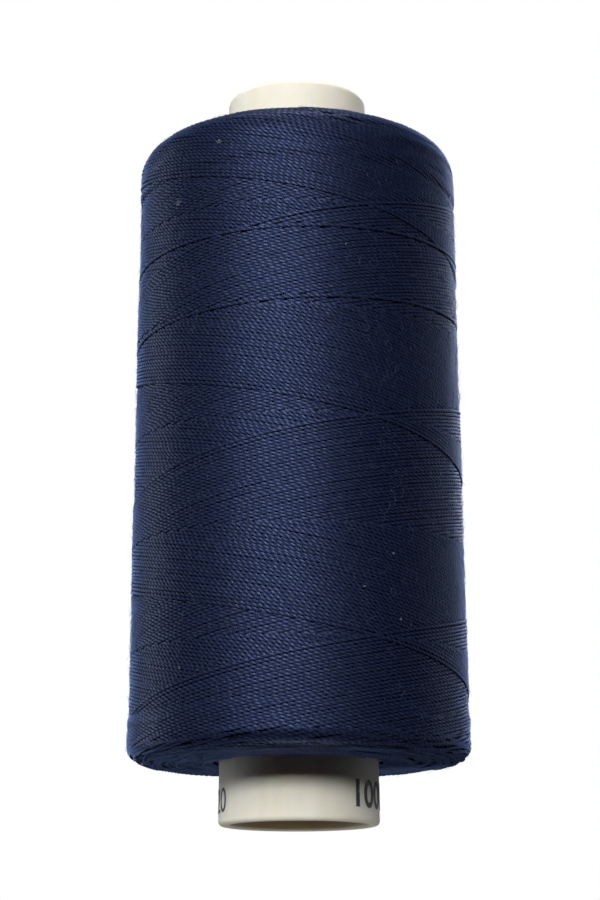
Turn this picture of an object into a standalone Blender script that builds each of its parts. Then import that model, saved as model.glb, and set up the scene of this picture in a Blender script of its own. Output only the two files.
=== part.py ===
"""A cross-wound spool of sewing thread.

Two separate pieces: a hollow moulded tube, slightly wider at its foot, and the thread wound on it.
Metres, +Z up. The origin is the centre of the tube's lower rim, and +Z runs up the tube's axis.
"""

import math

import bpy

# Tube: a thin-walled moulding with draft, so its radii shrink towards the top.
TUBE_LENGTH = 0.0800
TUBE_FOOT_RADIUS = 0.0084
TUBE_TOP_RADIUS = 0.0076
TUBE_WALL = 0.0012
TUBE_OUTER_EDGE = 0.00045
TUBE_INNER_EDGE = 0.00030

# Winding: the package of thread, between the tube's bare ends.
WINDING_BOTTOM = 0.0066
WINDING_TOP = 0.0738
WINDING_FOOT_RADIUS = 0.0178
WINDING_TOP_RADIUS = 0.0171
WINDING_FOOT_SHOULDER = 0.0016
WINDING_TOP_SHOULDER = 0.0033
WINDING_INNER_EDGE = 0.0006
WINDING_TOP_DISH = 0.0005

# The gap that keeps the two solids apart where the thread lies on the tube.
TOUCHING_GAP = 0.0003

SEGMENTS_AROUND = 96
SHOULDER_STEPS = 7
EDGE_STEPS = 4
MERGE_DISTANCE = 0.00001

# Name, linear colour, roughness and metallic value of each finish.
CREAM_PLASTIC = ("cream_plastic", (0.78, 0.74, 0.60), 0.38, 0.0)
NAVY_THREAD = ("navy_thread", (0.012, 0.026, 0.090), 0.85, 0.0)


def clear_scene():
    """Removes every object, so that the script starts from nothing."""
    for old in list(bpy.data.objects):
        bpy.data.objects.remove(old)


def make_material(finish):
    """A Principled material from a finish's name, colour, roughness and metallic value."""
    name, colour, roughness, metallic = finish
    material = bpy.data.materials.new(name)
    material.use_nodes = True
    shader = material.node_tree.nodes["Principled BSDF"]
    shader.inputs["Base Color"].default_value = (*colour, 1.0)
    shader.inputs["Roughness"].default_value = roughness
    shader.inputs["Metallic"].default_value = metallic
    return material


def tube_radius(height):
    """The tube's outer radius at a height above its foot."""
    share = height / TUBE_LENGTH
    return TUBE_FOOT_RADIUS + (TUBE_TOP_RADIUS - TUBE_FOOT_RADIUS) * share


def unit_between(start, end):
    """The direction from one outline point to another, as a unit vector."""
    along = (end[0] - start[0], end[1] - start[1])
    length = math.hypot(*along)
    return (along[0] / length, along[1] / length)


def rounded_corner(before, corner, after, radius, steps):
    """The points of an arc that rounds one corner of an outline."""
    to_before = unit_between(corner, before)
    to_after = unit_between(corner, after)
    cosine = to_before[0] * to_after[0] + to_before[1] * to_after[1]
    half_angle = math.acos(cosine) / 2
    to_centre = unit_between((0, 0), (to_before[0] + to_after[0], to_before[1] + to_after[1]))
    centre_distance = radius / math.sin(half_angle)
    centre = [corner[i] + to_centre[i] * centre_distance for i in (0, 1)]
    setback = radius / math.tan(half_angle)
    first = [corner[i] + to_before[i] * setback - centre[i] for i in (0, 1)]
    last = [corner[i] + to_after[i] * setback - centre[i] for i in (0, 1)]
    start_angle = math.atan2(first[1], first[0])
    sweep = math.atan2(last[1], last[0]) - start_angle
    sweep = (sweep + math.pi) % (2 * math.pi) - math.pi
    angles = [start_angle + sweep * step / steps for step in range(steps + 1)]
    return [(centre[0] + radius * math.cos(a), centre[1] + radius * math.sin(a)) for a in angles]


def rounded_outline(corners):
    """A closed outline from corners given as (radius from the axis, height, rounding, steps)."""
    points = []
    for index, (radial, height, rounding, steps) in enumerate(corners):
        before = corners[index - 1][:2]
        after = corners[(index + 1) % len(corners)][:2]
        if rounding:
            points += rounded_corner(before, (radial, height), after, rounding, steps)
        else:
            points.append((radial, height))
    return points


def turned_piece(name, outline, material):
    """One closed body: an outline on the +X side, running down its outer wall, turned about Z."""
    mesh = bpy.data.meshes.new(name)
    count = len(outline)
    vertices = [(radial, 0.0, height) for radial, height in outline]
    mesh.from_pydata(vertices, [(i, (i + 1) % count) for i in range(count)], [])
    mesh.materials.append(material)
    piece = bpy.data.objects.new(name, mesh)
    bpy.context.scene.collection.objects.link(piece)
    turn = piece.modifiers.new("Turn", "SCREW")
    turn.axis = "Z"
    turn.angle = 2 * math.pi
    turn.steps = SEGMENTS_AROUND
    turn.render_steps = SEGMENTS_AROUND
    turn.use_merge_vertices = True
    turn.merge_threshold = MERGE_DISTANCE
    turn.use_smooth_shade = True
    return piece


def make_tube():
    """The moulded tube, with rounded lips that leave a narrow flat land on each rim."""
    outline = rounded_outline([
        (TUBE_TOP_RADIUS, TUBE_LENGTH, TUBE_OUTER_EDGE, EDGE_STEPS),
        (TUBE_FOOT_RADIUS, 0.0, TUBE_OUTER_EDGE, EDGE_STEPS),
        (TUBE_FOOT_RADIUS - TUBE_WALL, 0.0, TUBE_INNER_EDGE, EDGE_STEPS),
        (TUBE_TOP_RADIUS - TUBE_WALL, TUBE_LENGTH, TUBE_INNER_EDGE, EDGE_STEPS),
    ])
    return turned_piece("spool_tube", outline, make_material(CREAM_PLASTIC))


def make_winding():
    """The wound thread: a tapered ring with round shoulders and a top dished towards the tube."""
    inner_top = tube_radius(WINDING_TOP) + TOUCHING_GAP
    inner_bottom = tube_radius(WINDING_BOTTOM) + TOUCHING_GAP
    outline = rounded_outline([
        (WINDING_TOP_RADIUS, WINDING_TOP, WINDING_TOP_SHOULDER, SHOULDER_STEPS),
        (WINDING_FOOT_RADIUS, WINDING_BOTTOM, WINDING_FOOT_SHOULDER, SHOULDER_STEPS),
        (inner_bottom, WINDING_BOTTOM, WINDING_INNER_EDGE, EDGE_STEPS),
        (inner_top, WINDING_TOP - WINDING_TOP_DISH, WINDING_INNER_EDGE, EDGE_STEPS),
    ])
    return turned_piece("thread_winding", outline, make_material(NAVY_THREAD))


clear_scene()
make_tube()
make_winding()
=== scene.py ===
import math

import bmesh
import bpy
import numpy as np
from mathutils import Matrix, Vector


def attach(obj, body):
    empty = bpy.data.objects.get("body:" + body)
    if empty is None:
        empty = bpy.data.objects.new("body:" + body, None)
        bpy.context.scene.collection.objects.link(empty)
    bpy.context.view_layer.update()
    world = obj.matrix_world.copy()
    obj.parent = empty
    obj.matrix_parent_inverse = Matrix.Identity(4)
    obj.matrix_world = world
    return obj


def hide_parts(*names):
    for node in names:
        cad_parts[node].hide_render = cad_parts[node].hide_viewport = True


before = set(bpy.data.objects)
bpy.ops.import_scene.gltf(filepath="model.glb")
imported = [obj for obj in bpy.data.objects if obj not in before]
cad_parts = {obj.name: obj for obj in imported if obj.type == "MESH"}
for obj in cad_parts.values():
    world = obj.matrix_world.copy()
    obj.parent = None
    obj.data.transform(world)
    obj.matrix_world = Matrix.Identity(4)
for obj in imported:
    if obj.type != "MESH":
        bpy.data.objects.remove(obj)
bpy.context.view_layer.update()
MM = 0.001
SEED = 7

# Camera, from the row's own axes: it stands in front of the spool, below its foot, and looks up.
CAMERA_PLACE = (0.00022, -0.2325, -0.01688)
CAMERA_PITCH = math.radians(13.79)
CAMERA_ROLL = math.radians(-0.18)
CAMERA_LENS = 88.6
SENSOR = 36.0

# Lamps: name, place, size, power and colour.
LAMPS = (
    ("key", (-0.21, -0.88, 0.30), (0.95, 0.16), 7.4, (1.0, 1.0, 1.0)),
    ("upper_key", (-0.21, -0.85, 0.48), (0.95, 0.30), 4.6, (1.0, 1.0, 1.0)),
    ("overhead", (0.0, -0.10, 0.90), (0.5, 0.5), 4.4, (1.0, 1.0, 1.0)),
    ("left_rim", (-0.80, 0.35, 0.10), (0.4, 0.8), 2.6, (0.9, 0.95, 1.0)),
    ("right_rim", (0.80, 0.35, 0.10), (0.4, 0.8), 0.9, (0.9, 0.95, 1.0)),
    ("back", (0.30, 0.95, 0.45), (0.9, 0.5), 6.0, (1.0, 1.0, 1.0)),
    ("under", (0.0, 0.07, -0.70), (0.3, 0.3), 1.7, (1.0, 0.97, 0.93)),
)
LAMP_TARGET = (0.0, 0.0, 0.04)
AMBIENT = 0.012
# The floor turns white between these distances, so that it meets the backdrop without a line.
FLOOR_FADE = (0.16, 0.60)
FLOOR_HALF_SIZE = 3.0
FLOOR_DROP = 0.05 * MM

# The thread: two plies twisted together, and how it is wound.
THREAD_SPACING = 0.370 * MM
THREAD_HALF_WIDTH = 0.202 * MM
THREAD_HALF_HEIGHT = 0.165 * MM
LAYER_THICKNESS = 0.270 * MM
PLY_PITCH = 1.30 * MM
PLY_DEPTH = 0.50
TWIST_DRIFT = 0.06
TWIST_DRIFT_RINGS = 80
TWIST_WALK = 0.060
BEAD_LUMPINESS = 0.07
RINGS_PER_PITCH = 10
RING_SPACING = PLY_PITCH / RINGS_PER_PITCH
RING_ANGLES = np.radians([0.0, 36.0, 72.0, 108.0, 144.0, 180.0])
HELIX_PITCH = 22.6 * MM
MEAN_RADIUS = 17.44 * MM
HELIX_ANGLE = math.atan(HELIX_PITCH / (2 * math.pi * MEAN_RADIUS))
RISING_EDGE = 38.4 * MM
FALLING_EDGE = 41.7 * MM
SHORTEST_REVERSAL = 4.0 * MM
LONGEST_REVERSAL = 15.0 * MM
WINDING_STEP = 0.35 * LAYER_THICKNESS
WINDING_PASSES = 2
STROKE_TURNS = 6
HIGHEST_CENTRE = 0.10 * MM
STROKE_JITTER = 0.004 * MM
STRAND_WANDER = 0.015 * MM
STRAND_WANDER_STEPS = 140
# The two newest strokes stand a little apart from the rest, in rows.
NEWEST_GAPS = (0.18, 0.06)
CORE_DEPTH = 0.30 * MM
END_CORE_DEPTH = 0.22 * MM
TOP_DISH = 0.5 * MM

# The older strokes' reversals at the ends: level rows first, then single arcs across them.
# A tuck is how far from its end a stretch starts to dip (in metres for an arc, otherwise in
# columns), and how deep its end goes.
SHOULDER_ROWS = 2.6 * MM
END_MARGIN = 0.25 * MM
END_ROW_SPACING = 0.97 * THREAD_SPACING
END_WANDER = 0.03 * MM
END_WANDER_STEPS = 300
END_ARCS = 110
ARC_HALF_LENGTH = 6.0 * MM
ARC_HALF_RANGE = 10.0 * MM
ARC_BOW_RADIUS = 70 * MM
ARC_SLOPE = 0.07
ARC_SINK = 0.05 * MM
ARC_TUCK = (2.0 * MM, 0.30 * MM)
# Gaps deeper than this near the ends are filled with short lengths of thread.
GAP_DEPTH = 0.15 * MM
GAP_ZONE = 5.0 * MM
GAP_MARGIN = 0.3 * MM
GAP_FILLS = 110
GAP_REACH = 50
GAP_BLUR = 8.0
GAP_ROUNDING = 8
GAP_TUCK = (22, 0.2 * MM)

# The thread's outer end: its last turns, drawn tight round the package at a low angle.
# Each point is the angle round the axis in degrees, 0 at the front, and the height.
LAST_TURNS = ((-250, 45.0), (-82, 50.6), (0, 52.0), (80, 53.3), (180, 56.2), (278, 59.0),
              (360, 59.7), (440, 60.3), (560, 62.5))
LAST_TURN_DEPTH = 0.20 * MM
LAST_TURN_GROOVE = 0.20 * MM
LAST_TURN_LIFT = 0.08 * MM
LAST_TURN_SINK = 0.02 * MM
LAST_TURN_ROUNDING = 60
LAST_TURN_TUCK = (120, 0.7 * MM)

# The thread's colours, from painted shade in the valleys to a painted highlight on the crowns, and its
# shine.
THREAD_SHADE_AND_HIGHLIGHT = (
    (0.00, (0.0006, 0.0012, 0.0055)),
    (0.25, (0.0020, 0.0031, 0.0100)),
    (0.60, (0.0050, 0.0070, 0.0165)),
    (1.00, (0.0115, 0.0150, 0.0300)),
)
THREAD_SHINE = 0.43
THREAD_SHINE_TINT = (0.50, 0.60, 1.0, 1.0)
THREAD_ROUGHNESS = 0.38
NORMAL_SOFTENING = 0.75
FIBRE_BUMP = 0.25
# A bead's own tone from its noise (slope, offset, least), and its area's tone (slope, offset): random
# tones that scale the painted highlight.
BEAD_LENGTH = 0.9 * MM
BEAD_TONE = (2.6, -0.30, 0.15)
LOT_TONE = (0.3, 0.85)
STRANDS_APART = 37.0
# How closely the painted highlight keeps to a bead's top, along the strand and across it.
CROWN_SHARPNESS = 6
CROWN_WIDTH = 0.6
# The haze of loose fibres over the strands: its sheen, its matt body and its glow in the light.
HAZE_COLOUR = (0.330, 0.490, 1.000, 1.0)
HAZE_ROUGHNESS = 0.30
HAZE_BODY = (0.0038, 0.0056, 0.0143, 1.0)
GLOW_COLOUR = (0.0058, 0.0088, 0.0230, 1.0)
GLOW_ROUGHNESS = 0.55
# Towards the rims the loose fibres hide the strands behind an even veil.
VEIL = 0.55
VEIL_SHARE = 0.5
VEIL_COLOUR = (0.0050, 0.0080, 0.0222, 1.0)

# The older layers' colours: darkest in the grooves between rows, a painted shade, lightest on the rows.
CORE_TONES = ((0.0, (0.007, 0.011, 0.032)), (1.0, (0.018, 0.028, 0.076)))
TUBE_TONES = (
    (0.25, (0.70, 0.67, 0.56)),
    (0.55, (0.75, 0.73, 0.63)),
    (0.80, (0.78, 0.77, 0.69)),
)

INK_TONES = (
    (0.30, (0.22, 0.21, 0.19)),
    (0.42, (0.035, 0.035, 0.04)),
    (1.00, (0.012, 0.012, 0.016)),
)
NAVY_FUZZ = ((0.010, 0.016, 0.040), (0.060, 0.078, 0.140))
PALE_LINT = ((0.07, 0.09, 0.12), (0.30, 0.33, 0.34))

# Generic numbers printed on the foot: text, where it starts round the axis, baseline, height and
# boldness.
PRINTS = (
    ("120", -99.0, 1.25 * MM, 2.5 * MM, 0.000),
    ("1000", 39.0, 1.60 * MM, 2.7 * MM, 0.030),
)
INK_THICKNESS = 0.012 * MM
INK_STANDOFF = 1.3 * INK_THICKNESS
INK_STRIP = 0.15 * MM
INK_WELD = 0.0005 * MM
CAPITAL_HEIGHT = 0.7

# Loose fibres and lint on the package.
FIBRES = 7600
FIBRE_RADIUS = 0.014 * MM
FIBRE_STEPS = 4
FIBRE_SIDES = 3
# In mm: the shortest fibre, how much longer they get, their mean lift, and its least and most.
FIBRE_LENGTH = 0.7
FIBRE_LENGTH_RANGE = 1.3
FIBRE_LIFT = 0.10
FIBRE_LIFTS = (0.01, 0.35)
FIBRE_FOOT = 0.08 * MM
FIBRE_BEND = 1.2
FIBRE_SPREAD = 0.45
END_CLEARANCE = 5 * MM
# Any direction that no fibre runs along.
HAIR_SIDEWAYS = (0.31, 0.52, 0.79)
# Lint: angle round the axis in degrees, height in mm, size in mm and how pale.
LINT = (
    (-28.0, 69.6, 0.30, 1.0), (-45.5, 64.0, 0.50, 0.5), (16.5, 57.8, 0.14, 0.8), (21.5, 22.2, 0.18, 0.8),
    (34.5, 19.2, 0.12, 0.6), (-41.0, 14.6, 0.14, 0.5), (-33.5, 14.2, 0.10, 0.5), (32.0, 25.8, 0.12, 0.5),
)
LINT_FIBRES = 14
LINT_STEPS = 8
LINT_RADIUS = 0.016 * MM
LINT_SCATTER = 0.25
LINT_CURL = 3.0

# The map of the winding's surface: columns round the axis, rows along its outline.
COLUMNS = 1600
COLUMN_ANGLE = 2 * np.pi / COLUMNS
ROW_STEP = 0.05 * MM
SHOULDER_STEPS = 80
# How near a CAD vertex has to be to the widest radius, to lie on the barrel or on the rim.
BARREL_TOLERANCE = 0.01 * MM
RIM_TOLERANCE = 0.001 * MM
# The rows that a strand reaches to each side, and how it rests on what is below it, in rows
# across it and columns along it.
STRAND_ROWS = int(THREAD_HALF_WIDTH / ROW_STEP) + 1
SUPPORT_ROWS = 2
BRIDGE_COLUMNS = 9
# A strand shows where enough of its rows reach within this depth of what was laid later.
SEEN_DEPTH = 0.03 * MM
SEEN_ROWS = 3
SEEN_LEAST = 3
SEEN_RUN_ON = 10
# The most rings of thread in one piece, and the columns of the table of rings.
PIECE_RINGS = 15500
CENTRE, NORMAL, SIDE = slice(0, 3), slice(3, 6), slice(6, 9)
ALONG, TURNS, RUN, TONE = 9, 10, 11, 12
CORE_SIDES = 192
CORE_RINGS = 160


# ---- the winding's outline

def node_section(name):
    """How far each vertex of a CAD node is from the axis, its height, and if it is in the lower half."""
    points = np.array([v.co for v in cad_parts[name].data.vertices])
    height = points[:, 2]
    return np.hypot(points[:, 0], points[:, 1]), height, height < (height.min() + height.max()) / 2


def cad_outline():
    """The winding's outer radii and heights, and its shoulder, read from its CAD node."""
    radial, height, low = node_section("thread_winding")
    lower = radial[low].max()
    upper = radial[~low].max()
    return {
        "bottom": height.min(),
        "top": height.max(),
        "start": height[low & (radial > lower - BARREL_TOLERANCE)].max(),
        "end": height[~low & (radial > upper - BARREL_TOLERANCE)].min(),
        "foot_radius": lower,
        "top_radius": upper,
        "bore_low": radial[low].min(),
        "bore_high": radial[~low].min(),
    }


def line_points(start, change, count):
    """Points of a straight stretch of the outline, without its last one."""
    return [(start[0] + change[0] * (i / count), start[1] + change[1] * (i / count))
            for i in range(count)]


def arc_points(centre, radius, start_angle):
    """Points of a quarter turn of the outline, without its last one."""
    angles = [start_angle + math.pi / 2 * i / SHOULDER_STEPS for i in range(SHOULDER_STEPS)]
    return [(centre[0] + radius * math.cos(a), centre[1] + radius * math.sin(a)) for a in angles]


def outline_points(cad):
    """The outline from the tube, over the foot end, the barrel and the top end, to the tube."""
    shoulder_low = cad["start"] - cad["bottom"]
    shoulder_high = cad["top"] - cad["end"]
    flat_low = cad["foot_radius"] - shoulder_low
    flat_high = cad["top_radius"] - shoulder_high
    foot_face = (flat_low - cad["bore_low"], 0.0)
    barrel = (cad["top_radius"] - cad["foot_radius"], cad["end"] - cad["start"])
    top_face = (cad["bore_high"] - flat_high, -TOP_DISH)
    points = line_points((cad["bore_low"], cad["bottom"]), foot_face, int(foot_face[0] / ROW_STEP))
    points += arc_points((flat_low, cad["start"]), shoulder_low, -math.pi / 2)
    points += line_points((cad["foot_radius"], cad["start"]), barrel, int(barrel[1] / ROW_STEP))
    points += arc_points((flat_high, cad["end"]), shoulder_high, 0.0)
    points += line_points((flat_high, cad["top"]), top_face, int(-top_face[0] / ROW_STEP))
    points.append((flat_high + top_face[0], cad["top"] + top_face[1]))
    return np.array(points)


class Outline:
    """The winding's section as a curve. Its length is u, which equals the height on the barrel."""

    def __init__(self, cad):
        points = outline_points(cad)
        steps = np.diff(points, axis=0)
        u = np.concatenate([[0.0], np.cumsum(np.hypot(steps[:, 0], steps[:, 1]))])
        along = np.gradient(points, u, axis=0)
        along /= np.hypot(along[:, 0], along[:, 1])[:, None]
        middle = (cad["start"] + cad["end"]) / 2
        barrel = (points[:, 1] > cad["start"]) & (points[:, 1] < cad["end"])
        self.u = u + (middle - np.interp(middle, points[barrel, 1], u[barrel]))
        self.points = points
        self.normals = np.column_stack([along[:, 1], -along[:, 0]])

    def at(self, u):
        """The outline's radius and height at a place, and the two parts of its normal."""
        values = (*self.points.T, *self.normals.T)
        return [np.interp(u, self.u, value) for value in values]

    def radius(self, u):
        """The outline's radius at a place."""
        return np.interp(u, self.u, self.points[:, 0])

    def place(self, angle, u, height):
        """World points at an angle round the axis, a place on the outline and a height off it."""
        radial, z, normal_r, normal_z = self.at(u)
        r = radial + normal_r * height
        normals = np.column_stack([normal_r * np.sin(angle), -normal_r * np.cos(angle), normal_z])
        points = np.column_stack([r * np.sin(angle), -r * np.cos(angle), z + normal_z * height])
        return points, normals


# ---- laying the thread

def smooth_noise(rng, length, scale):
    """Noise of unit height that wanders slowly along a path, about once in so many steps."""
    count = max(4, int(length / scale) + 4)
    knots = rng.normal(size=count)
    return np.interp(np.linspace(0, count - 1, max(2, int(length))), np.arange(count), knots)


def filtered(values, kernel):
    """Values along a path under a filter of odd length, with the end values held."""
    return np.convolve(np.pad(values, len(kernel) // 2, mode="edge"), kernel, mode="valid")


def spread(flags, reach, least):
    """True where at least so many of the flags within reach are true."""
    return filtered(flags.astype(float), np.ones(2 * reach + 1)) > least - 0.5


def averaged(values, reach):
    """Each value's mean with its neighbours within reach."""
    return filtered(values, np.ones(2 * reach + 1) / (2 * reach + 1))


def blurred(values, deviation):
    """Values along a path under a Gaussian blur."""
    reach = 3 * deviation
    kernel = np.exp(-0.5 * (np.arange(-reach, reach + 1) / deviation) ** 2)
    return filtered(values, kernel / kernel.sum())


def map_columns(first_column, u):
    """The map's columns under a stretch of thread."""
    return (first_column + np.arange(len(u))) % COLUMNS


def strand_top(centre, across):
    """The height of a strand's round top, from its centre's and how far across it each place is."""
    return centre[:, None] + THREAD_HALF_HEIGHT * np.sqrt(np.clip(1 - across ** 2, 0, 1))


class Winding:
    """Lays stretches of thread one after another on a map of the surface's height."""

    def __init__(self, outline, relief):
        self.outline = outline
        self.row_start = outline.u[0]
        self.rows = int((outline.u[-1] - outline.u[0]) / ROW_STEP) + 1
        angle = 2 * np.pi * np.arange(COLUMNS)[:, None] / COLUMNS
        u = self.row_start + ROW_STEP * np.arange(self.rows)[None, :]
        turn = angle / (2 * np.pi)
        rising_age = np.mod((RISING_EDGE + HELIX_PITCH * turn - u) / HELIX_PITCH, 1.0)
        falling_age = np.mod((u - FALLING_EDGE + HELIX_PITCH * turn) / HELIX_PITCH, 1.0)
        self.height = -2 * LAYER_THICKNESS - WINDING_STEP * (rising_age + falling_age - 1.0)
        self.height = self.height - relief
        self.stretches = []

    def row(self, u):
        """Where a place on the outline is on the map, in rows."""
        return (u - self.row_start) / ROW_STEP

    def under(self, first_column, u, reach):
        """The columns and rows within reach of a stretch, and how far across it each row is."""
        row = self.row(u)[:, None]
        rows = np.round(row).astype(int) + np.arange(-reach, reach + 1)
        across = (rows - row) * ROW_STEP / THREAD_HALF_WIDTH
        return map_columns(first_column, u)[:, None], np.clip(rows, 0, self.rows - 1), across

    def lay(self, first_column, u, sink=0.0, tuck=None):
        """Lays one stretch. u holds its place on the outline at each column from the first."""
        columns, rows, _ = self.under(first_column, u, SUPPORT_ROWS)
        support = self.height[columns, rows].mean(axis=1)
        centre = blurred(support, BRIDGE_COLUMNS) + 0.5 * LAYER_THICKNESS - sink
        pressed = HIGHEST_CENTRE * (1 - np.exp(-np.maximum(centre, 0) / HIGHEST_CENTRE))
        centre = np.where(centre > 0, pressed, centre)
        if tuck is not None:
            centre = centre - tuck
        columns, rows, across = self.under(first_column, u, STRAND_ROWS)
        below = self.height[columns, rows]
        raised = np.maximum(below, strand_top(centre, across))
        self.height[columns, rows] = np.where(np.abs(across) < 1, raised, below)
        self.stretches.append((first_column, u, centre))

    def seen(self, stretch):
        """Where a stretch still shows through what was laid after it."""
        first_column, u, centre = stretch
        columns, rows, across = self.under(first_column, u, SEEN_ROWS)
        covered = self.height[columns, rows] - strand_top(centre, across)
        shows = (covered < SEEN_DEPTH).sum(axis=1) >= SEEN_LEAST
        # Spots under five columns long are dropped, and the rest runs on under what covers it.
        steady = spread(shows, 2, 5)
        return spread(steady, SEEN_RUN_ON, 1)


def traverse(column_angle, start_angle, low, high, reversals):
    """The place along the outline of thread that goes up and down between two reversals."""
    slope = HELIX_PITCH / (2 * np.pi)
    stroke = (high - low) / slope
    phase = np.mod(column_angle - start_angle, 2 * stroke)
    half_low, half_high = (length / MEAN_RADIUS for length in reversals)
    from_low = np.minimum(phase, 2 * stroke - phase)
    from_high = stroke - from_low
    straight = low + slope * from_low
    round_low = low + slope * (from_low ** 2 / half_low + half_low) / 2
    round_high = high - slope * (from_high ** 2 / half_high + half_high) / 2
    place = np.where(from_low < half_low, round_low, straight)
    return np.where(from_high < half_high, round_high, place)


def lay_barrel(winding, rng):
    """Lays one full cycle of double strokes, which covers the barrel both ways."""
    middle = (RISING_EDGE + FALLING_EDGE) / 2
    high = middle + 1.5 * HELIX_PITCH
    low = middle - 1.5 * HELIX_PITCH
    strokes = int(round(HELIX_PITCH / THREAD_SPACING))
    shift = 2 * np.pi / strokes
    # Where a rising run meets its lower reversal, for the newest stroke.
    newest = (low - RISING_EDGE) / HELIX_PITCH * 2 * np.pi
    length = STROKE_TURNS * COLUMNS
    for age in range(strokes - 1, -1, -1):
        jitter = rng.normal() * STROKE_JITTER / HELIX_PITCH * 2 * np.pi
        gap = NEWEST_GAPS[age] * shift if age < len(NEWEST_GAPS) else 0.0
        start = newest + age * shift + jitter - gap
        first = int(np.ceil(start / COLUMN_ANGLE))
        angles = (first + np.arange(length)) * COLUMN_ANGLE
        reversals = SHORTEST_REVERSAL + (LONGEST_REVERSAL - SHORTEST_REVERSAL) * rng.random(2)
        u = traverse(angles, start, low, high, reversals)
        winding.lay(first, u + smooth_noise(rng, length, STRAND_WANDER_STEPS) * STRAND_WANDER)


def press_groove(winding, columns, u, fade):
    """Presses a groove into the package, with what was laid before."""
    dip = np.zeros_like(winding.height)
    places = winding.row_start + ROW_STEP * np.arange(winding.rows)
    for column, place, share in zip(columns, u, fade):
        across = (places - place) / LAST_TURN_GROOVE
        dip[column] += LAST_TURN_DEPTH * share * np.exp(-0.5 * across ** 2)
    winding.height -= dip
    sunk = []
    for first, place, centre in winding.stretches:
        row = np.clip(np.round(winding.row(place)).astype(int), 0, winding.rows - 1)
        sunk.append((first, place, centre - dip[map_columns(first, place), row]))
    winding.stretches = sunk


def lay_last_turns(winding):
    """Lays the thread's outer end in a groove, with both of its ends tucked in."""
    knots = np.array(LAST_TURNS)
    first = int(np.radians(knots[0, 0]) / COLUMN_ANGLE)
    last = int(np.radians(knots[-1, 0]) / COLUMN_ANGLE)
    angles = np.degrees(np.arange(first, last) * COLUMN_ANGLE)
    u = averaged(np.interp(angles, knots[:, 0], knots[:, 1]) * MM, LAST_TURN_ROUNDING)
    steps = np.arange(len(u))
    length, depth = LAST_TURN_TUCK
    fade = np.clip(np.minimum(steps, len(u) - steps) / length, 0, 1)
    press_groove(winding, map_columns(first, u), u, fade)
    winding.lay(first, u + LAST_TURN_LIFT, sink=LAST_TURN_SINK, tuck=(1 - fade) ** 2 * depth)


def lay_end_rows(winding, rng, lowest, highest):
    """Lays near-level rows side by side, as the reversals of older strokes leave them."""
    count = int((highest - lowest) / END_ROW_SPACING * COLUMNS)
    place = np.linspace(lowest, highest, count)
    wander = smooth_noise(rng, count, END_WANDER_STEPS) * END_WANDER
    winding.lay(int(rng.integers(COLUMNS)), np.clip(place + wander, lowest, highest))


def lay_end_arcs(winding, rng, lowest, highest, side):
    """Lays single reversals across the rows, so that no row runs all the way round."""
    tuck_length, tuck_depth = ARC_TUCK
    for _ in range(END_ARCS):
        u = lowest + (highest - lowest) * rng.random()
        radius = float(winding.outline.radius(u))
        angle = 2 * np.pi * rng.random()
        half = (ARC_HALF_LENGTH + ARC_HALF_RANGE * rng.random()) / radius
        count = int(2 * half / COLUMN_ANGLE)
        s = (np.arange(count) - count / 2) * COLUMN_ANGLE * radius
        bow = side * s ** 2 / (2 * ARC_BOW_RADIUS) + s * rng.normal() * ARC_SLOPE
        end = np.clip((np.abs(s) - (half * radius - tuck_length)) / tuck_length, 0, 1)
        place = np.clip(u + bow, lowest, highest)
        first = int((angle - half) / COLUMN_ANGLE)
        winding.lay(first, place, sink=ARC_SINK, tuck=end ** 2 * tuck_depth)


def lay_ends(winding, rng, cad):
    """Lays the older strokes' reversals, which cover the shoulders and the end faces."""
    u = winding.outline.u
    zones = (
        (u[0] + END_MARGIN, cad["start"] + SHOULDER_ROWS, 1.0),
        (cad["end"] - SHOULDER_ROWS, u[-1] - END_MARGIN, -1.0),
    )
    for lowest, highest, side in zones:
        lay_end_rows(winding, rng, lowest, highest)
        lay_end_arcs(winding, rng, lowest, highest, side)


def follow_gap(depths, column, row, way):
    """The rows of a gap's lowest line, from one place on it, one way round the axis."""
    path = []
    for k in range(1, GAP_REACH + 1):
        beside = np.clip([row - 1, row, row + 1], 0, depths.shape[1] - 1)
        values = depths[(column + way * k) % COLUMNS, beside]
        row = int(beside[int(np.argmin(values))])
        path.append(row)
    return path


def ring_blur():
    """The spectrum of a Gaussian that blurs the map round the axis."""
    distance = np.arange(-COLUMNS // 2, COLUMNS // 2)
    around = np.exp(-0.5 * (distance / GAP_BLUR) ** 2)
    return np.fft.rfft(np.fft.ifftshift(around / around.sum()))


def fill_gaps(winding, lowest, highest):
    """Lays short lengths in the deepest gaps that the reversals leave between them."""
    first_row = int(winding.row(lowest))
    last_row = int(winding.row(highest))
    around = ring_blur()
    tuck_length, tuck_depth = GAP_TUCK
    distance = np.abs(np.arange(-GAP_REACH, GAP_REACH + 1))
    ends = np.clip((distance - GAP_REACH + tuck_length) / tuck_length, 0, 1)
    for _ in range(GAP_FILLS):
        zone = winding.height[:, first_row:last_row]
        zone = (zone[:, :-2] + zone[:, 1:-1] + zone[:, 2:]) / 3
        depths = np.fft.irfft(np.fft.rfft(zone, axis=0) * around[:, None], n=COLUMNS, axis=0)
        column, row = np.unravel_index(int(np.argmin(depths)), depths.shape)
        if depths[column, row] > -GAP_DEPTH:
            break
        back = follow_gap(depths, column, row, -1)[::-1]
        path = np.array(back + [row] + follow_gap(depths, column, row, 1), dtype=float)
        u = winding.row_start + ROW_STEP * (first_row + 1 + averaged(path, GAP_ROUNDING))
        winding.lay(int(column) - GAP_REACH, u, tuck=ends ** 2 * tuck_depth)


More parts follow.
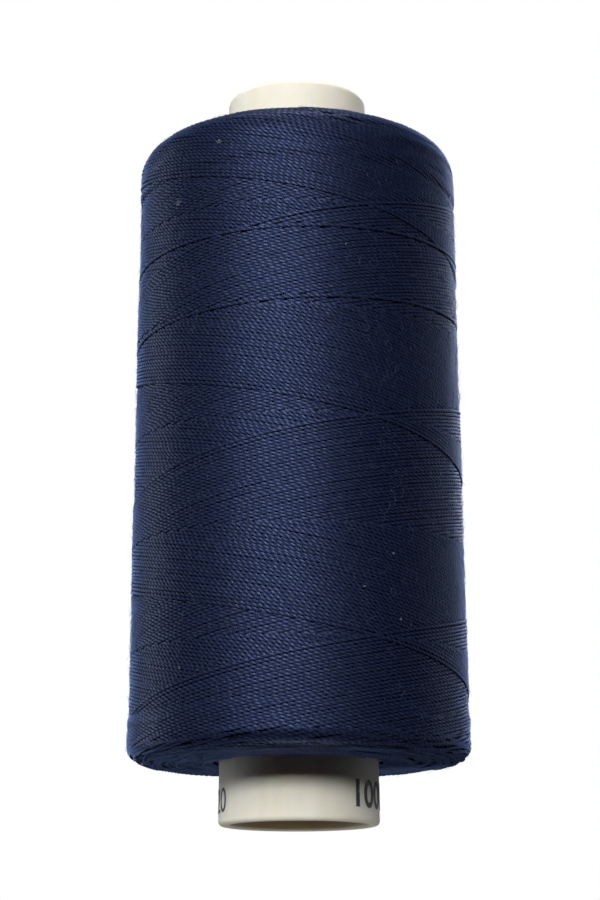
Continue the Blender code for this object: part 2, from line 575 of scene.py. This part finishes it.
def wind_package(outline, cad):
    """The wound package. A first winding shows how high each row comes out, and corrects the next."""
    relief = 0.0
    for _ in range(WINDING_PASSES):
        rng = np.random.default_rng(SEED)
        winding = Winding(outline, relief)
        lay_ends(winding, rng, cad)
        lay_barrel(winding, rng)
        relief = relief + winding.height.mean(axis=0) - 0.5 * THREAD_HALF_HEIGHT
    fill_gaps(winding, outline.u[0] + GAP_MARGIN, cad["start"] + GAP_ZONE)
    fill_gaps(winding, cad["end"] - GAP_ZONE, outline.u[-1] - GAP_MARGIN)
    lay_last_turns(winding)
    return winding, rng


# ---- strands as meshes

def ring_table(winding, rng):
    """Every shown ring of thread: centre, frame, length, turns of twist, run and tone."""
    tables = []
    run_offset = 0
    stroke_twist = 0.0
    for stretch in winding.stretches:
        first, u, centre = stretch
        shows = winding.seen(stretch)
        if not shows.any():
            continue
        angle = (first + np.arange(len(u))) * COLUMN_ANGLE
        points, _ = winding.outline.place(angle, u, centre)
        lengths = np.linalg.norm(np.diff(points, axis=0), axis=1)
        s = np.concatenate([[0.0], np.cumsum(lengths)])
        ring_s = np.arange(0, s[-1], RING_SPACING)
        ring_angle, ring_u, ring_h = (np.interp(ring_s, s, values) for values in (angle, u, centre))
        shown = np.interp(ring_s, s, shows.astype(float)) > 0.5
        points, normals = winding.outline.place(ring_angle, ring_u, ring_h)
        tangents = np.gradient(points, axis=0)
        tangents /= np.linalg.norm(tangents, axis=1)[:, None]
        sides = np.cross(tangents, normals)
        runs = np.concatenate([[0], np.cumsum(np.abs(np.diff(shown.astype(int))))])
        tone = rng.random()
        # Neighbouring strands leave the winder with their twist almost in step.
        stroke_twist += rng.normal() * TWIST_WALK
        from_front = first * COLUMN_ANGLE * MEAN_RADIUS / math.cos(HELIX_ANGLE)
        turns = (ring_s + from_front) / PLY_PITCH + stroke_twist
        turns = turns + TWIST_DRIFT * smooth_noise(rng, len(ring_s), TWIST_DRIFT_RINGS)
        tables.append(np.column_stack([
            points, normals, sides, ring_s, turns, runs + run_offset, np.full(len(ring_s), tone),
        ])[shown])
        run_offset += runs[-1] + 1
    return np.concatenate(tables)


def piece_cuts(table):
    """Where to cut the table, between runs, so that each piece has about PIECE_RINGS rings."""
    cuts = [0]
    for start in np.nonzero(table[1:, RUN] != table[:-1, RUN])[0] + 1:
        if start - cuts[-1] > PIECE_RINGS:
            cuts.append(int(start))
    return cuts[1:]


def fill_mesh(name, vertices, loops, starts):
    """A smooth mesh from vertices, the corners of its faces, and where each face starts."""
    mesh = bpy.data.meshes.new(name)
    mesh.vertices.add(len(vertices))
    mesh.vertices.foreach_set("co", vertices.astype(np.float32).ravel())
    mesh.loops.add(len(loops))
    mesh.loops.foreach_set("vertex_index", loops)
    mesh.polygons.add(len(starts))
    mesh.polygons.foreach_set("loop_start", starts.astype(np.int32))
    mesh.update(calc_edges=True)
    mesh.shade_smooth()
    return mesh


def link_piece(name, mesh, material):
    """An object in the scene from a mesh and its one material."""
    piece = bpy.data.objects.new(name, mesh)
    bpy.context.scene.collection.objects.link(piece)
    mesh.materials.append(material)
    return piece


def store(mesh, label, values):
    """Keeps a number for each vertex, for the material to read."""
    layer = mesh.attributes.new(label, "FLOAT", "POINT")
    layer.data.foreach_set("value", values.astype(np.float32))


def strand_rings(table, rng):
    """The corners of each ring, shaped as two plies round each other, and the painted highlight of each,
    strongest on the plies' crests where they face up.
    """
    twist = -2 * np.pi * table[:, TURNS, None]
    lumps = 1 + BEAD_LUMPINESS * rng.normal(size=len(table))
    ridge = np.abs(np.cos(RING_ANGLES[None, :] - twist))
    # Painted highlight: bright on each ply's crest and on the strand's upper side, none on its
    # underside.
    crown_highlight = ridge ** CROWN_SHARPNESS * np.sin(RING_ANGLES)[None, :].clip(0) ** CROWN_WIDTH
    radius = (1 - PLY_DEPTH * (1 - ridge)) * lumps[:, None]
    x = radius * np.cos(RING_ANGLES) * THREAD_HALF_WIDTH
    y = radius * np.sin(RING_ANGLES) * THREAD_HALF_HEIGHT
    corners = table[:, None, CENTRE] + table[:, None, SIDE] * x[..., None]
    return corners + table[:, None, NORMAL] * y[..., None], crown_highlight


def strand_faces(run):
    """The corners of the faces of closed tubes, one for each run, and where each face starts."""
    corners = len(RING_ANGLES)
    here = np.nonzero(run[1:] == run[:-1])[0] * corners
    there = here + corners
    quads = []
    for j in range(1, corners):
        quads.append(np.column_stack([here + j, here + j - 1, there + j - 1, there + j]))
    quads.append(np.column_stack([here, here + corners - 1, there + corners - 1, there]))
    quads = np.concatenate(quads)
    breaks = run[1:] != run[:-1]
    first = np.nonzero(np.concatenate([[True], breaks]))[0]
    last = np.nonzero(np.concatenate([breaks, [True]]))[0]
    start_caps = first[:, None] * corners + np.arange(corners)
    end_caps = last[:, None] * corners + np.arange(corners)[::-1]
    return joined_faces(quads, np.concatenate([start_caps, end_caps]))


def joined_faces(quads, caps):
    """The corners of four-sided faces and then of end caps, and where each face starts."""
    loops = np.concatenate([quads.ravel(), caps.ravel()]).astype(np.int32)
    quad_starts = np.arange(len(quads)) * 4
    cap_starts = len(quads) * 4 + np.arange(len(caps)) * caps.shape[1]
    return loops, np.concatenate([quad_starts, cap_starts])


def strand_piece(name, table, material, rng):
    """One mesh of closed tubes, one for each run of rings in the table."""
    vertices, crown_highlight = strand_rings(table, rng)
    mesh = fill_mesh(name, vertices.reshape(-1, 3), *strand_faces(table[:, RUN]))
    corners = len(RING_ANGLES)
    # Each corner's painted highlight, for the material to read.
    store(mesh, "crown_highlight", crown_highlight.ravel())
    store(mesh, "along", np.repeat(table[:, ALONG], corners))
    store(mesh, "tone", np.repeat(table[:, TONE], corners))
    normals = np.repeat(table[:, NORMAL], corners, axis=0)
    outward = mesh.attributes.new("outward", "FLOAT_VECTOR", "POINT")
    outward.data.foreach_set("vector", normals.astype(np.float32).ravel())
    return link_piece(name, mesh, material)


def core_piece(outline, material):
    """The closed ring of older layers under the shown thread."""
    radial, z, normal_r, normal_z = outline.at(np.linspace(outline.u[0], outline.u[-1], CORE_RINGS))
    depth = CORE_DEPTH + (END_CORE_DEPTH - CORE_DEPTH) * np.minimum(1.0, np.abs(normal_z))
    rings = list(zip(radial - normal_r * depth, z - normal_z * depth))
    rings.insert(0, (outline.points[0, 0], rings[0][1]))
    rings.append((outline.points[-1, 0], rings[-1][1]))
    vertices = []
    for r, height in rings:
        for k in range(CORE_SIDES):
            angle = 2 * math.pi * k / CORE_SIDES
            vertices.append((r * math.sin(angle), -r * math.cos(angle), height))
    faces = []
    for i in range(len(rings)):
        here = i * CORE_SIDES
        there = (i + 1) % len(rings) * CORE_SIDES
        for k in range(CORE_SIDES):
            after = (k + 1) % CORE_SIDES
            faces.append((here + k, here + after, there + after, there + k))
    mesh = bpy.data.meshes.new("thread_core")
    mesh.from_pydata(vertices, [], faces)
    mesh.shade_smooth()
    return link_piece("thread_core", mesh, material)


def hair_piece(name, paths, radii, tones, material):
    """Closed thin tubes along paths of world points, all with the same number of points."""
    paths = np.asarray(paths)
    count, steps, _ = paths.shape
    tangents = np.gradient(paths, axis=1)
    tangents /= np.linalg.norm(tangents, axis=2)[..., None]
    across = np.cross(tangents, HAIR_SIDEWAYS)
    across /= np.linalg.norm(across, axis=2)[..., None]
    other = np.cross(tangents, across)
    taper = 1 - 0.6 * np.linspace(0, 1, steps) ** 2
    corners = []
    for side in range(FIBRE_SIDES):
        turn = 2 * math.pi * side / FIBRE_SIDES
        spoke = across * math.cos(turn) + other * math.sin(turn)
        corners.append(paths + spoke * (np.asarray(radii)[:, None] * taper)[..., None])
    vertices = np.stack(corners, axis=2).reshape(-1, 3)
    here = (np.arange(count)[:, None] * steps + np.arange(steps - 1)).ravel() * FIBRE_SIDES
    there = here + FIBRE_SIDES
    quads = []
    for side in range(FIBRE_SIDES):
        after = (side + 1) % FIBRE_SIDES
        quads.append(np.column_stack([here + side, here + after, there + after, there + side]))
    first = np.arange(count)[:, None] * steps * FIBRE_SIDES
    last = first + (steps - 1) * FIBRE_SIDES
    ends = np.arange(FIBRE_SIDES)
    caps = np.concatenate([first + ends[::-1], last + ends])
    mesh = fill_mesh(name, vertices, *joined_faces(np.concatenate(quads), caps))
    store(mesh, "tone", np.repeat(tones, steps * FIBRE_SIDES))
    return link_piece(name, mesh, material)


def fuzz_piece(outline, material, rng):
    """Fibre ends that stand a little off the package, mostly along the thread."""
    low = outline.u[0] + END_CLEARANCE
    high = outline.u[-1] - END_CLEARANCE
    angle = 2 * np.pi * rng.random(FIBRES)
    u = low + (high - low) * rng.random(FIBRES)
    heading = HELIX_ANGLE * rng.choice([-1, 1], FIBRES) + rng.normal(size=FIBRES) * FIBRE_SPREAD
    heading = heading + np.pi * rng.integers(0, 2, FIBRES)
    length = (FIBRE_LENGTH + FIBRE_LENGTH_RANGE * rng.random(FIBRES)) * MM
    lift = rng.exponential(FIBRE_LIFT, FIBRES).clip(*FIBRE_LIFTS) * MM
    bend = rng.normal(size=FIBRES) * FIBRE_BEND
    share = np.linspace(0, 1, FIBRE_STEPS + 1)[None, :]
    run = share * length[:, None]
    turned = heading[:, None] + bend[:, None] * share
    angles = angle[:, None] + run * np.cos(turned) / outline.radius(u)[:, None]
    places = u[:, None] + run * np.sin(turned)
    heights = FIBRE_FOOT + lift[:, None] * share ** 1.4
    points, _ = outline.place(angles.ravel(), places.ravel(), heights.ravel())
    points = points.reshape(FIBRES, FIBRE_STEPS + 1, 3)
    radii = FIBRE_RADIUS * (0.7 + 0.6 * rng.random(FIBRES))
    return hair_piece("loose_fibres", points, radii, rng.random(FIBRES), material)


def lint_fibre(outline, angle, u, size, rng):
    """One curled fibre of a speck of lint, as world points."""
    share = np.linspace(0, 1, LINT_STEPS + 1)
    centre = rng.normal(size=2) * LINT_SCATTER * size * MM
    heading = 2 * np.pi * rng.random() + share * rng.normal() * LINT_CURL
    step = size * MM * (0.5 + 0.7 * rng.random()) / LINT_STEPS
    x = centre[0] + np.cumsum(np.cos(heading)) * step
    y = centre[1] + np.cumsum(np.sin(heading)) * step
    angles = math.radians(angle) + x / float(outline.radius(u * MM))
    heights = (0.22 + 0.10 * rng.random() + 0.1 * np.sin(np.pi * share)) * MM
    points, _ = outline.place(angles, u * MM + y, heights)
    return points


def lint_piece(outline, material, rng):
    """Specks of pale lint caught on the thread, each a few curled fibres."""
    paths = []
    tones = []
    for angle, u, size, pale in LINT:
        for _ in range(LINT_FIBRES):
            paths.append(lint_fibre(outline, angle, u, size, rng))
            tones.append(pale * (0.7 + 0.3 * rng.random()))
    radii = [LINT_RADIUS] * len(paths)
    return hair_piece("lint_specks", paths, radii, np.array(tones), material)


def tube_wall():
    """The tube's outer radius as a function of height, read from its CAD node."""
    radial, height, low = node_section("spool_tube")
    foot = radial[low].max()
    top = radial[~low].max()
    foot_height = height[low][radial[low] > foot - RIM_TOLERANCE].mean()
    top_height = height[~low][radial[~low] > top - RIM_TOLERANCE].mean()
    slope = (top - foot) / (top_height - foot_height)
    return lambda z: foot + slope * (z - foot_height)


def flat_number(text, size, boldness):
    """A number as a flat closed mesh, cut into narrow upright strips so that it can bend."""
    curve = bpy.data.curves.new("numbers", "FONT")
    curve.body = text
    curve.size = size / CAPITAL_HEIGHT
    curve.offset = boldness * size
    curve.extrude = INK_THICKNESS
    flat = bpy.data.objects.new("numbers", curve)
    bpy.context.scene.collection.objects.link(flat)
    bpy.context.view_layer.update()
    mesh = bpy.data.meshes.new_from_object(flat.evaluated_get(bpy.context.evaluated_depsgraph_get()))
    bpy.data.objects.remove(flat)
    shape = bmesh.new()
    shape.from_mesh(mesh)
    bmesh.ops.remove_doubles(shape, verts=shape.verts, dist=INK_WELD)
    right = max(v.co.x for v in shape.verts)
    for x in np.arange(INK_STRIP, right, INK_STRIP):
        parts = shape.verts[:] + shape.edges[:] + shape.faces[:]
        bmesh.ops.bisect_plane(shape, geom=parts, plane_co=(x, 0, 0), plane_no=(1, 0, 0))
    return mesh, shape


def print_piece(text, start, baseline, size, boldness, material):
    """Ink numbers wrapped round the tube's foot, as a thin closed layer on its surface."""
    mesh, shape = flat_number(text, size, boldness)
    wall = tube_wall()
    radius = wall(baseline + size / 2)
    for v in shape.verts:
        angle = math.radians(start) + v.co.x / radius
        z = baseline + v.co.y
        r = wall(z) + INK_STANDOFF + v.co.z
        v.co = (r * math.sin(angle), -r * math.cos(angle), z)
    bmesh.ops.recalc_face_normals(shape, faces=shape.faces)
    shape.to_mesh(mesh)
    shape.free()
    mesh.name = f"printed_number_{text}"
    mesh.materials.clear()
    return link_piece(mesh.name, mesh, material)


# ---- materials

def new_material(name):
    """A material with its node tree and its Principled node."""
    material = bpy.data.materials.new(name)
    material.use_nodes = True
    tree = material.node_tree
    return material, tree, tree.nodes["Principled BSDF"]


def add_node(tree, kind, **values):
    """A shader node with its settings and the constants of its sockets."""
    node = tree.nodes.new(kind)
    for key, value in values.items():
        if hasattr(node, key):
            setattr(node, key, value)
        else:
            node.inputs[key.replace("_", " ")].default_value = value
    return node


def ramp(tree, source, stops):
    """A colour ramp over a value, with its stops as (place, colour)."""
    node = tree.nodes.new("ShaderNodeValToRGB")
    elements = node.color_ramp.elements
    while len(elements) < len(stops):
        elements.new(0.5)
    for element, (place, colour) in zip(elements, stops):
        element.position = place
        element.color = (*colour, 1.0)
    tree.links.new(source, node.inputs["Fac"])
    return node.outputs["Color"]


def attribute(tree, name):
    """A number that the mesh stores at each vertex."""
    return add_node(tree, "ShaderNodeAttribute", attribute_name=name).outputs["Fac"]


def noise(tree, place, scale, detail):
    """Noise over a vector socket."""
    node = add_node(tree, "ShaderNodeTexNoise", Scale=scale, Detail=detail)
    tree.links.new(place, node.inputs["Vector"])
    return node.outputs["Fac"]


def object_place(tree):
    """The place on the piece, in metres."""
    return add_node(tree, "ShaderNodeTexCoord").outputs["Object"]


def math_node(tree, operation, *values):
    """A maths node over sockets or numbers."""
    node = add_node(tree, "ShaderNodeMath", operation=operation)
    for socket, value in zip(node.inputs, values):
        if isinstance(value, (int, float)):
            socket.default_value = value
        else:
            tree.links.new(value, socket)
    return node.outputs["Value"]


def add_bump(tree, height, strength, distance):
    """A bump node over a height socket."""
    node = add_node(tree, "ShaderNodeBump", Strength=strength, Distance=distance)
    tree.links.new(height, node.inputs["Height"])
    return node


def add_shaders(tree, a, b):
    """Two shaders on top of each other."""
    node = tree.nodes.new("ShaderNodeAddShader")
    tree.links.new(a, node.inputs[0])
    tree.links.new(b, node.inputs[1])
    return node.outputs["Shader"]


def mix_shaders(tree, share, a, b):
    """Two shaders mixed, with share the second one's part."""
    node = tree.nodes.new("ShaderNodeMixShader")
    tree.links.new(share, node.inputs["Fac"])
    tree.links.new(a, node.inputs[1])
    tree.links.new(b, node.inputs[2])
    return node.outputs["Shader"]


def package_normal(tree):
    """The direction straight out of the package, which the loose surface fibres follow."""
    stored = add_node(tree, "ShaderNodeAttribute", attribute_name="outward").outputs["Vector"]
    turned = add_node(tree, "ShaderNodeVectorTransform", vector_type="NORMAL",
                      convert_from="OBJECT", convert_to="WORLD")
    tree.links.new(stored, turned.inputs["Vector"])
    return turned.outputs["Vector"]


def painted_bead_light(tree, place):
    """The painted highlight at each point of a strand: bright on its crowns, with painted shade between,
    scaled by a random tone for each bead and each area.
    """
    slope, offset, least = BEAD_TONE
    lot_slope, lot_offset = LOT_TONE
    where = add_node(tree, "ShaderNodeCombineXYZ")
    along = math_node(tree, "MULTIPLY", attribute(tree, "along"), 1 / BEAD_LENGTH)
    strand = math_node(tree, "MULTIPLY", attribute(tree, "tone"), STRANDS_APART)
    tree.links.new(along, where.inputs["X"])
    tree.links.new(strand, where.inputs["Y"])
    beads = noise(tree, where.outputs["Vector"], 1.0, 2.0)
    beads = math_node(tree, "MAXIMUM", math_node(tree, "MULTIPLY_ADD", beads, slope, offset), least)
    lots = math_node(tree, "MULTIPLY_ADD", noise(tree, place, 220.0, 3.0), lot_slope, lot_offset)
    # Painted light: the stored crown highlight times the random bead tone.
    lit = math_node(tree, "MULTIPLY", attribute(tree, "crown_highlight"), beads)
    return math_node(tree, "MULTIPLY", lit, lots)


def fibre_normal(tree, outward, place):
    """The strand's own normal, softened towards the package's and roughened by fibres."""
    softer = add_node(tree, "ShaderNodeMix", data_type="VECTOR")
    softer.inputs["Factor"].default_value = NORMAL_SOFTENING
    strand = add_node(tree, "ShaderNodeNewGeometry").outputs["Normal"]
    tree.links.new(strand, softer.inputs["A"])
    tree.links.new(outward, softer.inputs["B"])
    unit = add_node(tree, "ShaderNodeVectorMath", operation="NORMALIZE")
    tree.links.new(softer.outputs["Result"], unit.inputs[0])
    bump = add_bump(tree, noise(tree, place, 5200.0, 2.0), FIBRE_BUMP, 0.03 * MM)
    tree.links.new(unit.outputs["Vector"], bump.inputs["Normal"])
    return bump.outputs["Normal"]


def veil_shader(tree, outward, colour):
    """The even veil of loose fibres: a matt shader, part its own colour and part the strands' colour
    with its painted shade and highlight.
    """
    blend = add_node(tree, "ShaderNodeMix", data_type="RGBA")
    blend.inputs["Factor"].default_value = VEIL_SHARE
    own, strands = [socket for socket in blend.inputs if socket.type == "RGBA"]
    both = [socket for socket in blend.outputs if socket.type == "RGBA"][0]
    own.default_value = VEIL_COLOUR
    tree.links.new(colour, strands)
    veil = add_node(tree, "ShaderNodeBsdfDiffuse")
    tree.links.new(both, veil.inputs["Color"])
    tree.links.new(outward, veil.inputs["Normal"])
    return veil.outputs["BSDF"]


def haze_shader(tree, outward):
    """The haze of loose fibres: a matt body with a sheen at the rims, and a glow in the light."""
    haze = add_node(tree, "ShaderNodeBsdfPrincipled", Base_Color=HAZE_BODY, Roughness=1.0,
                    Specular_IOR_Level=0.0, Sheen_Weight=1.0, Sheen_Roughness=HAZE_ROUGHNESS,
                    Sheen_Tint=HAZE_COLOUR)
    glow = add_node(tree, "ShaderNodeBsdfGlossy", Roughness=GLOW_ROUGHNESS, Color=GLOW_COLOUR)
    tree.links.new(outward, haze.inputs["Normal"])
    tree.links.new(outward, glow.inputs["Normal"])
    return add_shaders(tree, haze.outputs["BSDF"], glow.outputs["BSDF"])


def thread_material():
    """Navy spun polyester: painted highlights on the plies' crowns, painted shade in the valleys
    between, and a haze of fibres.
    """
    material, tree, shader = new_material("navy_spun_polyester")
    links = tree.links
    place = object_place(tree)
    outward = package_normal(tree)
    lit = painted_bead_light(tree, place)
    # The base colour is painted light: dark in the valleys, bright on the crowns.
    colour = ramp(tree, lit, THREAD_SHADE_AND_HIGHLIGHT)
    links.new(colour, shader.inputs["Base Color"])
    links.new(math_node(tree, "MULTIPLY", lit, THREAD_SHINE), shader.inputs["Specular IOR Level"])
    shader.inputs["Specular Tint"].default_value = THREAD_SHINE_TINT
    shader.inputs["Roughness"].default_value = THREAD_ROUGHNESS
    links.new(fibre_normal(tree, outward, place), shader.inputs["Normal"])
    edge = add_node(tree, "ShaderNodeLayerWeight", Blend=0.5)
    links.new(outward, edge.inputs["Normal"])
    share = math_node(tree, "MULTIPLY", edge.outputs["Facing"], VEIL)
    veiled = mix_shaders(tree, share, shader.outputs["BSDF"], veil_shader(tree, outward, colour))
    surface = add_shaders(tree, haze_shader(tree, outward), veiled)
    links.new(surface, tree.nodes["Material Output"].inputs["Surface"])
    return material


def core_material():
    """The older layers below, seen only through the gaps: fine rows round the axis, darker in the
    grooves between them as painted shade.
    """
    material, tree, shader = new_material("navy_under_layers")
    rows = add_node(tree, "ShaderNodeTexWave", bands_direction="Z", Scale=430.0, Distortion=3.0)
    tree.links.new(object_place(tree), rows.inputs["Vector"])
    # Painted shade: the rows' grooves, low in the bump, take the darkest colour.
    tree.links.new(ramp(tree, rows.outputs["Fac"], CORE_TONES), shader.inputs["Base Color"])
    bump = add_bump(tree, rows.outputs["Fac"], 0.6, 0.1 * MM)
    tree.links.new(bump.outputs["Normal"], shader.inputs["Normal"])
    shader.inputs["Roughness"].default_value = 0.9
    return material


def tube_material():
    """Cream moulded plastic: faint mottling, upright flow lines, fine grain and a little grime."""
    material, tree, shader = new_material("cream_moulded_plastic")
    links = tree.links
    place = object_place(tree)
    mottle = noise(tree, place, 240.0, 4.0)
    stretch = add_node(tree, "ShaderNodeVectorMath", operation="MULTIPLY")
    stretch.inputs[1].default_value = (1.0, 1.0, 0.06)
    links.new(place, stretch.inputs[0])
    flow = noise(tree, stretch.outputs["Vector"], 900.0, 3.0)
    both = math_node(tree, "MULTIPLY_ADD", mottle, 0.6, math_node(tree, "MULTIPLY", flow, 0.4))
    links.new(ramp(tree, both, TUBE_TONES), shader.inputs["Base Color"])
    rough = math_node(tree, "MULTIPLY_ADD", mottle, 0.25, 0.46)
    links.new(rough, shader.inputs["Roughness"])
    grain = math_node(tree, "MULTIPLY", noise(tree, place, 2600.0, 3.0), 0.4)
    height = math_node(tree, "MULTIPLY_ADD", flow, 0.6, grain)
    bump = add_bump(tree, height, 0.35, 0.03 * MM)
    links.new(bump.outputs["Normal"], shader.inputs["Normal"])
    shader.inputs["Specular IOR Level"].default_value = 0.3
    shader.inputs["Subsurface Weight"].default_value = 0.5
    shader.inputs["Subsurface Radius"].default_value = (1.0, 0.65, 0.35)
    shader.inputs["Subsurface Scale"].default_value = 1.5 * MM
    return material


def ink_material():
    """Dark grey pad-printed ink, thinner in places."""
    material, tree, shader = new_material("dark_print")
    wear = noise(tree, object_place(tree), 1500.0, 4.0)
    tree.links.new(ramp(tree, wear, INK_TONES), shader.inputs["Base Color"])
    shader.inputs["Roughness"].default_value = 0.55
    return material


def fuzz_material(name, dark, pale):
    """Loose fibres, each a little lighter or darker than the next."""
    material, tree, shader = new_material(name)
    tone = attribute(tree, "tone")
    tree.links.new(ramp(tree, tone, ((0.0, dark), (1.0, pale))), shader.inputs["Base Color"])
    shader.inputs["Roughness"].default_value = 0.5
    shader.inputs["Specular IOR Level"].default_value = 0.25
    return material


# ---- stage, lights and camera

def floor_material():
    """Pale, white at a distance so that it meets the backdrop, and clear from below."""
    material, tree, shader = new_material("pale_floor")
    shader.inputs["Base Color"].default_value = (0.80, 0.79, 0.77, 1.0)
    shader.inputs["Roughness"].default_value = 0.8
    distance = add_node(tree, "ShaderNodeVectorMath", operation="LENGTH")
    tree.links.new(object_place(tree), distance.inputs[0])
    fade = add_node(tree, "ShaderNodeMapRange", interpolation_type="SMOOTHSTEP")
    fade.inputs["From Min"].default_value = FLOOR_FADE[0]
    fade.inputs["From Max"].default_value = FLOOR_FADE[1]
    tree.links.new(distance.outputs["Value"], fade.inputs["Value"])
    backdrop = add_node(tree, "ShaderNodeEmission", Color=(1.0, 1.0, 1.0, 1.0), Strength=1.0)
    clear = tree.nodes.new("ShaderNodeBsdfTransparent")
    below = tree.nodes.new("ShaderNodeNewGeometry").outputs["Backfacing"]
    floor = mix_shaders(tree, fade.outputs["Result"], shader.outputs["BSDF"],
                        backdrop.outputs["Emission"])
    surface = mix_shaders(tree, below, floor, clear.outputs["BSDF"])
    tree.links.new(surface, tree.nodes["Material Output"].inputs["Surface"])
    return material


def add_floor():
    """A pale floor under the spool. It shows only from above, so a low camera sees past it."""
    mesh = bpy.data.meshes.new("floor")
    size = FLOOR_HALF_SIZE
    corners = [(-size, -size, 0), (size, -size, 0), (size, size, 0), (-size, size, 0)]
    mesh.from_pydata(corners, [], [(0, 1, 2, 3)])
    floor = link_piece("floor", mesh, floor_material())
    floor.location.z = -FLOOR_DROP
    floor.visible_diffuse = False
    floor.visible_glossy = False
    floor.visible_shadow = False


def add_area(name, place, size, power, colour):
    """A soft rectangular lamp that points at the spool and can't be seen itself."""
    lamp = bpy.data.lights.new(name, "AREA")
    lamp.shape = "RECTANGLE"
    lamp.size, lamp.size_y = size
    lamp.energy = power
    lamp.color = colour
    lamp_object = bpy.data.objects.new(name, lamp)
    lamp_object.location = place
    lamp_object.visible_camera = False
    aim = Vector(LAMP_TARGET) - Vector(place)
    lamp_object.rotation_euler = aim.to_track_quat("-Z", "Y").to_euler()
    bpy.context.scene.collection.objects.link(lamp_object)


def add_lights():
    """The lamps, and a world that is white to the camera and dim to everything else."""
    for lamp in LAMPS:
        add_area(*lamp)
    world = bpy.data.worlds.new("studio")
    world.use_nodes = True
    nodes, links = world.node_tree.nodes, world.node_tree.links
    background = nodes["Background"]
    background.inputs["Color"].default_value = (1, 1, 1, 1)
    path = nodes.new("ShaderNodeLightPath")
    strength = nodes.new("ShaderNodeMix")
    strength.inputs["A"].default_value = AMBIENT
    strength.inputs["B"].default_value = 1.0
    links.new(path.outputs["Is Camera Ray"], strength.inputs["Factor"])
    links.new(strength.outputs["Result"], background.inputs["Strength"])
    bpy.context.scene.world = world


def add_camera():
    """The camera at the photo's angle, below the foot and looking up."""
    lens = bpy.data.cameras.new("camera")
    lens.sensor_width = SENSOR
    lens.lens = CAMERA_LENS
    lens.clip_start = 0.01
    camera = bpy.data.objects.new("camera", lens)
    tilt = Matrix.Rotation(math.pi / 2 + CAMERA_PITCH, 4, "X")
    roll = Matrix.Rotation(CAMERA_ROLL, 4, "Z")
    camera.matrix_world = Matrix.Translation(CAMERA_PLACE) @ tilt @ roll
    bpy.context.scene.collection.objects.link(camera)
    bpy.context.scene.camera = camera


# ---- the spool

def add_thread():
    """The package: its outer strands, the older layers below, loose fibres and lint."""
    cad = cad_outline()
    outline = Outline(cad)
    winding, rng = wind_package(outline, cad)
    table = ring_table(winding, rng)
    thread = thread_material()
    pieces = []
    for number, rings in enumerate(np.split(table, piece_cuts(table)), start=1):
        pieces.append(strand_piece(f"thread_turns_{number:02d}", rings, thread, rng))
    pieces.append(core_piece(outline, core_material()))
    pieces.append(fuzz_piece(outline, fuzz_material("loose_navy_fibres", *NAVY_FUZZ), rng))
    pieces.append(lint_piece(outline, fuzz_material("pale_lint", *PALE_LINT), rng))
    for piece in pieces:
        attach(piece, "root")
        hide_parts("thread_winding")


def dress_tube():
    """The tube's plastic, and the numbers printed on it."""
    ink = ink_material()
    for text, start, baseline, size, boldness in PRINTS:
        piece = print_piece(text, start, baseline, size, boldness, ink)
        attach(piece, "root")
    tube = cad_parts["spool_tube"]
    tube.data.materials.clear()
    tube.data.materials.append(tube_material())


def main():
    """Sets the stage, winds the package and dresses the tube."""
    bpy.context.scene.view_settings.view_transform = "Standard"
    add_camera()
    add_lights()
    add_floor()
    add_thread()
    dress_tube()


main()
